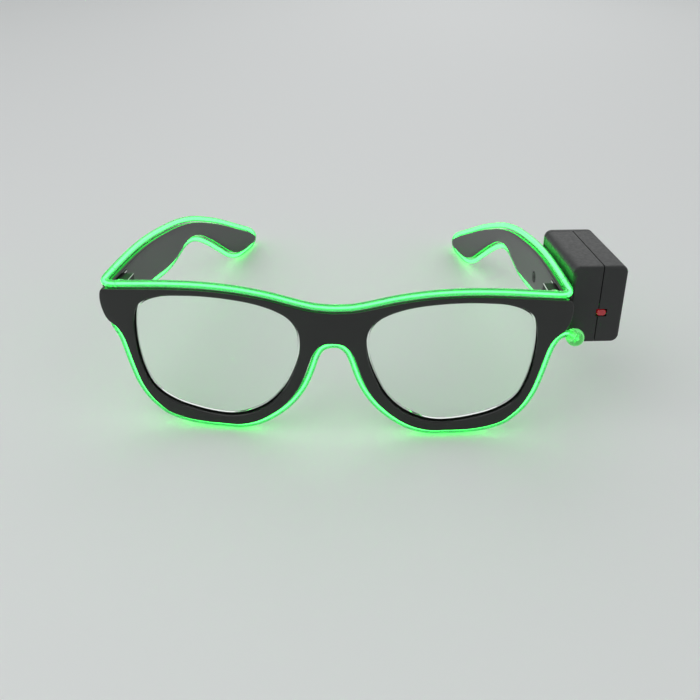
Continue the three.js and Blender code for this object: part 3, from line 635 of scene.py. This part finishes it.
def rounded_loop(loop):
    """A closed smooth curve through the corners of an outline, sharp where it turns sharply."""
    count = len(loop)
    ways = np.roll(loop, -1, axis=0) - loop
    spans = np.linalg.norm(ways, axis=1)
    unit = ways / spans[:, None]
    turn = np.arccos(np.clip((unit * np.roll(unit, 1, axis=0)).sum(1), -1, 1))
    sharp = turn > CORNER_ANGLE
    made = []
    for i in range(count):
        a, b, c, d = (loop[(i + k) % count] for k in (-1, 0, 1, 2))
        if sharp[i]:
            a = 2 * b - c
        if sharp[(i + 1) % count]:
            d = 2 * c - b
        pieces = max(1, round(spans[i] / OUTLINE_STEP))
        for t in np.arange(pieces) / pieces:
            made.append(centripetal(a, b, c, d, t))
    return np.array(made)


def edge_distance(points, outlines):
    """How far each point lies from the nearest outline."""
    nearest = np.full(len(points), np.inf)
    for loop in outlines:
        for start, end in zip(loop, np.roll(loop, -1, axis=0)):
            way = end - start
            share = np.clip(((points - start) @ way) / (way @ way), 0, 1)
            gap = np.linalg.norm(points - start - share[:, None] * way, axis=1)
            nearest = np.minimum(nearest, gap)
    return nearest


def within(points, outlines):
    """True for each point that an odd number of outlines goes round."""
    inside = np.zeros(len(points), bool)
    for loop in outlines:
        for (x0, y0), (x1, y1) in zip(loop, np.roll(loop, -1, axis=0)):
            spans = (points[:, 1] < y0) != (points[:, 1] < y1)
            with np.errstate(divide="ignore", invalid="ignore"):
                crossing = x0 + (points[:, 1] - y0) / (y1 - y0) * (x1 - x0)
            inside ^= spans & (points[:, 0] < crossing)
    return inside


def inward(loop):
    """The direction into the material at each point of an outline, which runs round it leftwards."""
    along = np.roll(loop, -1, axis=0) - np.roll(loop, 1, axis=0)
    along /= np.linalg.norm(along, axis=1)[:, None]
    return np.stack([-along[:, 1], along[:, 0]], axis=1)


def area_within(loop):
    after = np.roll(loop, -1, axis=0)
    return abs((loop[:, 0] * after[:, 1] - loop[:, 1] * after[:, 0]).sum()) / 2


# Smooth moulded plates, rebuilt from those outlines
def sheet_points(outlines, edge):
    """Points of a flat sheet: its outlines, rows that follow them round the edge, and a grid."""
    rows = [np.concatenate(outlines)]
    for turn in np.linspace(0, math.pi / 2, EDGE_ROWS + 1)[1:]:
        inset = edge * (1 - math.cos(turn))
        for loop in outlines:
            row = loop + inset * inward(loop)
            rows.append(row[edge_distance(row, outlines) > EDGE_KEEP * inset])
    low, high = rows[0].min(0), rows[0].max(0)
    grid = np.stack(np.meshgrid(
        np.arange(low[0], high[0], SHEET_GRID), np.arange(low[1], high[1], SHEET_GRID),
    ), axis=-1).reshape(-1, 2)
    grid[:, 0] += SHEET_GRID / 2 * (np.round((grid[:, 1] - low[1]) / SHEET_GRID) % 2)
    grid = grid[within(grid, outlines)]
    rows.append(grid[edge_distance(grid, outlines) > edge + GRID_MARGIN])
    return np.concatenate(rows)


def plate_form(node, axes):
    """A packed plate's smooth outlines, largest first, and the depth curves of its two faces."""
    out = Vector(axes[2])
    axes = np.array(axes)
    solid = welded(nodes[node])
    near = broad_face(solid, out)
    far = broad_face(solid, -out)
    outlines = []
    for corners in rim_loops(near):
        loop = np.array([corner.co for corner in corners]) @ axes[:2].T
        outlines.append(rounded_loop(without_straight_points(loop)))
    outlines.sort(key=area_within, reverse=True)
    depths = []
    for group in (near, far):
        corners = np.array([corner.co for face in group for corner in face.verts]) @ axes.T
        depths.append(np.polynomial.Polynomial.fit(corners[:, 0], corners[:, 2], DEPTH_DEGREE))
    solid.free()
    return outlines, depths


def triangulated(outlines, edge):
    """The sheet's points, its triangles, and for each outline the places of its own points."""
    flat = sheet_points(outlines, edge)
    rim = sum(len(loop) for loop in outlines)
    starts = np.cumsum([0, *(len(loop) for loop in outlines[:-1])])
    ring = [
        (start + i, start + (i + 1) % len(loop))
        for start, loop in zip(starts, outlines) for i in range(len(loop))
    ]
    made = delaunay_2d_cdt([Vector(point) for point in flat], ring, [], 0, CDT_TOLERANCE)
    flat = np.array(made[0])
    triangles = np.array(made[2])
    triangles = triangles[within(flat[triangles].mean(axis=1), outlines)]
    rim_of = {old: new for new, olds in enumerate(made[3]) for old in olds if old < rim}
    rims = [[rim_of[start + i] for i in range(len(loop))] for start, loop in zip(starts, outlines)]
    return flat, triangles, rims


def moulded_plate(name, node, axes, edge, grooved=False):
    """A plate with smooth broad faces and rounded edges, in place of a faceted packed one."""
    outlines, depths = plate_form(node, axes)
    flat, triangles, rims = triangulated(outlines, edge)
    count = len(flat)
    inset = np.minimum(edge_distance(flat, outlines), edge)
    drop = edge - np.sqrt(np.maximum(edge**2 - (edge - inset) ** 2, 0))
    points = [
        np.column_stack([flat, depths[0](flat[:, 0]) - drop]),
        np.column_stack([flat, depths[1](flat[:, 0]) + drop]),
    ]
    faces = [tuple(triangle) for triangle in triangles]
    faces += [tuple(count + triangle[::-1]) for triangle in triangles]
    total = 2 * count
    for place, (loop, rim) in enumerate(zip(outlines, rims)):
        levels = [rim, [count + corner for corner in rim]]
        if grooved and place > 0:
            middle = (depths[0](loop[:, 0]) + depths[1](loop[:, 0])) / 2
            for depth, rise in (
                (0, LENS_GROOVE_HALF), (LENS_GROOVE_DEPTH, LENS_GROOVE_HALF),
                (LENS_GROOVE_DEPTH, -LENS_GROOVE_HALF), (0, -LENS_GROOVE_HALF),
            ):
                flank = loop + depth * inward(loop)
                points.append(np.column_stack([flank, middle + rise]))
                levels.insert(-1, range(total, total + len(loop)))
                total += len(loop)
        for high, low in zip(levels, levels[1:]):
            for i in range(len(loop)):
                after = (i + 1) % len(loop)
                faces.append((high[after], high[i], low[i], low[after]))
    points = np.concatenate(points) @ np.array(axes)
    data = bpy.data.meshes.new(name)
    data.from_pydata(points.tolist(), [], [tuple(int(i) for i in face) for face in faces])
    mesh = bmesh.new()
    mesh.from_mesh(data)
    loose = [corner for corner in mesh.verts if not corner.link_faces]
    bmesh.ops.delete(mesh, geom=loose, context="VERTS")
    bmesh.ops.recalc_face_normals(mesh, faces=mesh.faces)
    mesh.to_mesh(data)
    mesh.free()
    return stand_for(node, new_piece(name, data, material_of(node)))


def block_round(node, axes):
    """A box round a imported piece, with clearance, whose sides follow three axes."""
    low, high = spans_along(node, axes)
    solid = bmesh.new()
    bmesh.ops.create_cube(solid, size=1)
    for corner in solid.verts:
        share = np.array(corner.co) + 0.5
        corner.co = Vector((low - SEAT_GAP + share * (high - low + 2 * SEAT_GAP)) @ np.array(axes))
    bmesh.ops.recalc_face_normals(solid, faces=solid.faces)
    return mesh_of("block", solid)


def screw_seat(node, way):
    """The stepped hole that a box screw lies in, open on its head's side."""
    foot, length = axis_foot(node, way)
    reach = length + SEAT_GAP
    return turned("seat", [
        (0, -reach), (SCREW_HEAD_RADIUS, -reach), (SCREW_HEAD_RADIUS, SCREW_HEAD_DEPTH),
        (SCREW_HOLE_RADIUS, SCREW_HEAD_DEPTH), (SCREW_HOLE_RADIUS, 2 * reach), (0, 2 * reach),
    ], foot, way)


def make_front():
    axes = front_axes()
    front = moulded_plate("front_frame_moulded", "front_frame", axes, FRONT_EDGE, grooved=True)
    cut(front, *(block_round(f"hinge_front_leaf_{word}", axes) for word in SIDES))
    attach(front, "front")


def make_lens(word):
    """A lens whose shading comes from its broad faces, so that it doesn't bend the view."""
    lens = moulded_plate(f"lens_{word}_moulded", f"lens_{word}", front_axes(), LENS_EDGE)
    lens.modifiers.new("normals", "WEIGHTED_NORMAL")
    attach(lens, "front")


def make_temple(word, side):
    node = f"temple_{word}"
    axes = (Vector((0, side, 0)), Vector((0, 0, 1)), Vector((side, 0, 0)))
    plate = moulded_plate(f"{node}_moulded", node, axes, TEMPLE_EDGE)
    seats = [block_round(f"hinge_temple_leaf_{word}", leaf_axes(side))]
    if word == BOX_SIDE:
        outward, _ = box_ways()
        screws = [name for name in nodes if name.startswith("box_mount_screw")]
        seats += [screw_seat(name, outward) for name in screws]
    cut(plate, *seats)
    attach(plate, node)


# Wire end cap, sleeve and status light
def make_cap():
    """A clear vinyl cap: a lipped mouth, a slight swell, a bore for the wire and a round end."""
    across, up, out = front_axes()
    way = (across * CAP_WAY[0] - out * CAP_WAY[1] + up * CAP_WAY[2]).normalized()
    foot, length = axis_foot("el_wire_end_cap", way)
    radius = drawn_radius("el_wire_end_cap", way)
    dome_foot = length - radius
    bore_corner = CAP_BORE_DEPTH - WIRE_SEAT / 2
    bore = arc((0, bore_corner), WIRE_SEAT / 2, QUARTER, 0, CAP_BORE_STEPS)[1:]
    lip = arc((CAP_MOUTH_RADIUS - CAP_LIP, CAP_LIP), CAP_LIP, 3 * QUARTER, 4 * QUARTER, CAP_LIP_STEPS)
    swell = []
    for share in np.linspace(CAP_SWELL_START, 1, CAP_SWELL_POINTS):
        growth = (radius - CAP_MOUTH_RADIUS) * math.sin(math.pi / 2 * share)
        swell.append((CAP_MOUTH_RADIUS + growth, share * dome_foot))
    dome = arc((0, dome_foot), radius, 0, QUARTER, CAP_DOME_STEPS)[1:-1]
    profile = [
        (0, CAP_BORE_DEPTH), *bore, (WIRE_SEAT, bore_corner - WIRE_SEAT / 2), (WIRE_SEAT, CAP_LIP),
        *lip, *swell, *dome, (0, length),
    ]
    cap = new_piece("end_cap_clear", turned("end_cap_clear", profile, foot, way), CAP_CLEAR)
    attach(stand_for("el_wire_end_cap", cap), "front")


def make_sleeve():
    """A short clear sleeve with eased ends round the wire, where it enters the box."""
    way = box_ways()[1]
    foot, length = axis_foot("wire_sleeve", way)
    half = (drawn_radius("wire_sleeve", way) - WIRE_SEAT) / 2
    middle = WIRE_SEAT + half
    profile = [
        *arc((middle, half), half, 2 * QUARTER, 4 * QUARTER, SLEEVE_STEPS),
        *arc((middle, length - half), half, 0, 2 * QUARTER, SLEEVE_STEPS),
    ]
    mesh = turned("wire_sleeve_clear", profile, foot, way)
    sleeve = new_piece("wire_sleeve_clear", mesh, SLEEVE_CLEAR)
    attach(stand_for("wire_sleeve", sleeve), "temple_left")


def rounded_rectangle(half, corner):
    """The outline of a rectangle from half its two sides and the radius of its corners."""
    outline = []
    for quarter, signs in enumerate(((1, 1), (-1, 1), (-1, -1), (1, -1))):
        for angle in np.linspace(0, math.pi / 2, LED_CORNER_POINTS) + quarter * math.pi / 2:
            turn = np.array([math.cos(angle), math.sin(angle)])
            outline.append(np.array(signs) * (half - corner) + corner * turn)
    return outline


def make_status_light():
    """A small rounded lamp with a domed face and its two leads to the board."""
    outward, up = box_ways()
    axes = (outward, up.cross(outward), up)
    low, high = spans_along("status_led", axes)
    axes = np.array(axes)
    centre = np.array([high[0] - LED_WIDTH / 2, low[1], (low[2] + high[2]) / 2])
    half = np.array([LED_WIDTH / 2, (high[2] - low[2]) / 2])
    levels = [
        (LED_DOME * (1 - math.sin(turn)), LED_DOME * (1 - math.cos(turn)))
        for turn in np.linspace(0, math.pi / 2, LED_DOME_POINTS)
    ]
    levels.append((0, high[1] - low[1]))
    solid = bmesh.new()
    rings = []
    for inset, level in levels:
        outline = rounded_rectangle(half - inset, max(LED_CORNER - inset, LED_LEAST_CORNER))
        rings.append([
            solid.verts.new((centre + np.array([across, level, rise])) @ axes)
            for across, rise in outline
        ])
    join_rings(solid, rings)
    solid.faces.new(rings[0])
    solid.faces.new(rings[-1])
    bmesh.ops.recalc_face_normals(solid, faces=solid.faces)
    body = new_piece("status_led_body", mesh_of("status_led_body", solid), LED_RED)
    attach(stand_for("status_led", body), "temple_left")

    lead_depth = high[1] - LED_LEAD_BACK
    for word, turn in (("upper", 1), ("lower", -1)):
        rise = centre[2] + turn * LED_LEAD_SPACING / 2
        start = np.array([low[0], lead_depth, rise])
        end = np.array([centre[0], lead_depth, rise])
        line = np.linspace(start, end, LED_LEAD_POINTS) @ axes
        name = f"status_led_lead_{word}"
        lead = new_piece(name, tube(name, line, LED_LEAD_RADIUS, CORE_SIDES), NICKEL)
        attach(lead, "temple_left")


# Wire
def end_ring(mesh):
    """The corners of one end of a faceted tube: a flat patch no wider than the tube."""
    for start in mesh.faces:
        patch = {start}
        reach = [start]
        while reach:
            face = reach.pop()
            for edge in face.edges:
                for other in edge.link_faces:
                    if other not in patch and other.normal.dot(start.normal) > CAD_END_FACING:
                        patch.add(other)
                        reach.append(other)
        corners = {corner for face in patch for corner in face.verts}
        middle = sum((corner.co for corner in corners), Vector()) / len(corners)
        widest = max((corner.co - middle).length for corner in corners)
        if len(corners) == CAD_WIRE_SIDES and widest < CAD_END_REACH:
            return corners
    raise ValueError("the tube has no flat end")


def centre_line(node):
    """The middle of each ring of a packed wire, from one end to the other."""
    mesh = welded(nodes[node])
    ring = end_ring(mesh)
    seen = set(ring)
    line = []
    while ring:
        total = sum((corner.co for corner in in_order(ring)), Vector())
        line.append(np.array(total / len(ring)))
        ring = {edge.other_vert(corner) for corner in ring for edge in corner.link_edges} - seen
        seen |= ring
    mesh.free()
    return line


def smooth_line(points, step):
    """A Catmull-Rom curve through the points, at even steps."""
    points = [np.array(point, float) for point in points]
    ends = [2 * points[0] - points[1], *points, 2 * points[-1] - points[-2]]
    fine = []
    for a, b, c, d in zip(ends, ends[1:], ends[2:], ends[3:]):
        for t in np.linspace(0, 1, CURVE_STEPS, endpoint=False):
            fine.append(0.5 * (
                2 * b + (c - a) * t + (2 * a - 5 * b + 4 * c - d) * t**2
                + (3 * b - a - 3 * c + d) * t**3
            ))
    fine = np.array([*fine, points[-1]])
    run = np.concatenate([[0], np.cumsum(np.linalg.norm(np.diff(fine, axis=0), axis=1))])
    places = np.linspace(0, run[-1], max(LEAST_STEPS, round(run[-1] / step)) + 1)
    return np.stack([np.interp(places, run, fine[:, axis]) for axis in range(3)], axis=1)


def tube(name, line, radius, sides, round_ends=0.0):
    """A round tube along a line, carried without twist. Its ends are eased by round_ends."""
    ways = np.gradient(line, axis=0)
    ways /= np.linalg.norm(ways, axis=1)[:, None]
    rows = [(point, way, radius) for point, way in zip(line, ways)]
    if round_ends > 0:
        rows[0] = (line[0] + ways[0] * round_ends, ways[0], radius)
        rows[-1] = (line[-1] - ways[-1] * round_ends, ways[-1], radius)
        rows.insert(0, (line[0], ways[0], radius - round_ends))
        rows.append((line[-1], ways[-1], radius - round_ends))
    side = np.cross(ways[0], (0.0, 0.0, 1.0))
    if np.linalg.norm(side) < LEAST_CROSS:
        side = np.cross(ways[0], (0.0, 1.0, 0.0))
    turns = [math.tau * k / sides for k in range(sides)]
    mesh = bmesh.new()
    rings = []
    for point, way, size in rows:
        side = side - way * np.dot(side, way)
        side /= np.linalg.norm(side)
        other = np.cross(way, side)
        rings.append([
            mesh.verts.new(point + size * (math.cos(turn) * side + math.sin(turn) * other))
            for turn in turns
        ])
    join_rings(mesh, rings)
    mesh.faces.new(rings[0][::-1])
    mesh.faces.new(rings[-1])
    return mesh_of(name, mesh)


def lit_wire(node, line):
    """The clear jacket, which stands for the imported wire, and the lit core inside it."""
    name = f"{node}_jacket"
    jacket = new_piece(name, tube(name, line, WIRE_RADIUS, WIRE_SIDES, WIRE_END_EASE), JACKET)
    stand_for(node, jacket)
    name = f"{node}_core"
    core = new_piece(name, tube(name, line, CORE_RADIUS, CORE_SIDES), CORE)
    return jacket, core


def make_wires():
    for node, body in (
        ("el_wire_front_top", "front"),
        ("el_wire_front_bottom", "front"),
        ("el_wire_temple_left", "temple_left"),
        ("el_wire_temple_right", "temple_right"),
    ):
        for piece in lit_wire(node, smooth_line(centre_line(node), WIRE_STEP)):
            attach(piece, body)
    for node, body in (
        ("el_wire_hinge_top_left", "temple_left"),
        ("el_wire_hinge_top_right", "temple_right"),
        ("el_wire_hinge_bottom_right", "temple_right"),
    ):
        line = centre_line(node)
        if line[0][1] > line[-1][1]:
            line.reverse()
        for end, inner in ((0, 1), (-1, -2)):
            way = line[end] - line[inner]
            line[end] = line[end] + way / np.linalg.norm(way) * LINK_REACH / 2
        start, end = Vector(line[0]), Vector(line[-1])
        for piece in lit_wire(node, smooth_line(line, LINK_STEP)):
            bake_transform(piece)


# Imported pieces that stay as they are
def ease_packed_pieces():
    for name, obj in nodes.items():
        if obj.hide_render:
            continue
        paint(obj, material_of(name))
        if "_leaf_" in name:
            # Hinge leaves: a pale painted highlight on their rounded edges.
            ease_edges(obj, HINGE_EDGE, HINGE_PAINTED_HIGHLIGHT)
        elif name.startswith(("box_", "battery")):
            ease_edges(obj, PART_EDGE)
        else:
            ease_edges(obj, SMALL_EDGE)


# Camera, lamps and floor
def make_camera():
    low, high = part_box("front_frame")
    middle = Vector(((low.x + high.x) / 2, low.y, cad_low.z))
    data = bpy.data.cameras.new("camera")
    data.sensor_width = SENSOR_WIDTH
    data.lens = SENSOR_WIDTH * FOCAL_PIXELS / PHOTO_PIXELS
    camera = bpy.data.objects.new("camera", data)
    ahead = Vector((
        math.sin(CAMERA_YAW) * math.cos(CAMERA_DOWN),
        math.cos(CAMERA_YAW) * math.cos(CAMERA_DOWN),
        -math.sin(CAMERA_DOWN),
    ))
    level = Vector((math.cos(CAMERA_YAW), -math.sin(CAMERA_YAW), 0))
    above = level.cross(ahead)
    right = math.cos(CAMERA_ROLL) * level + math.sin(CAMERA_ROLL) * above
    up = math.cos(CAMERA_ROLL) * above - math.sin(CAMERA_ROLL) * level
    turn = Matrix((right, up, -ahead)).transposed()
    camera.matrix_world = Matrix.Translation(middle + CAMERA_OFFSET) @ turn.to_4x4()
    bpy.context.scene.collection.objects.link(camera)
    bpy.context.scene.camera = camera


def make_lamp(name, direction, watts):
    direction = Vector(direction)
    data = bpy.data.lights.new(name, "AREA")
    data.shape = "DISK"
    data.size = LAMP_SIZE
    data.energy = watts
    lamp = bpy.data.objects.new(name, data)
    lamp.location = direction.normalized() * LAMP_DISTANCE
    lamp.rotation_mode = "QUATERNION"
    lamp.rotation_quaternion = direction.to_track_quat("Z", "Y")
    bpy.context.scene.collection.objects.link(lamp)


def make_stage():
    world = bpy.data.worlds.new("studio")
    bpy.context.scene.world = world
    world.use_nodes = True
    background = world.node_tree.nodes["Background"]
    background.inputs["Color"].default_value = WORLD_COLOUR
    background.inputs["Strength"].default_value = WORLD_STRENGTH
    for name, (direction, watts) in LAMPS.items():
        make_lamp(name, direction, watts)

    mesh = bmesh.new()
    bmesh.ops.create_grid(mesh, x_segments=1, y_segments=1, size=FLOOR_HALF)
    material, _, shader = new_material("floor")
    shader.inputs["Base Color"].default_value = FLOOR_COLOUR
    shader.inputs["Roughness"].default_value = FLOOR_ROUGHNESS
    floor = new_piece("floor", mesh_of("floor", mesh), material)
    floor.location.z = cad_low.z - FLOOR_GAP


make_camera()
make_stage()
make_front()
for word, side in SIDES.items():
    make_lens(word)
    make_temple(word, side)
make_wires()
make_cap()
make_sleeve()
make_status_light()
ease_packed_pieces()

bpy.context.scene.view_settings.view_transform = "Standard"
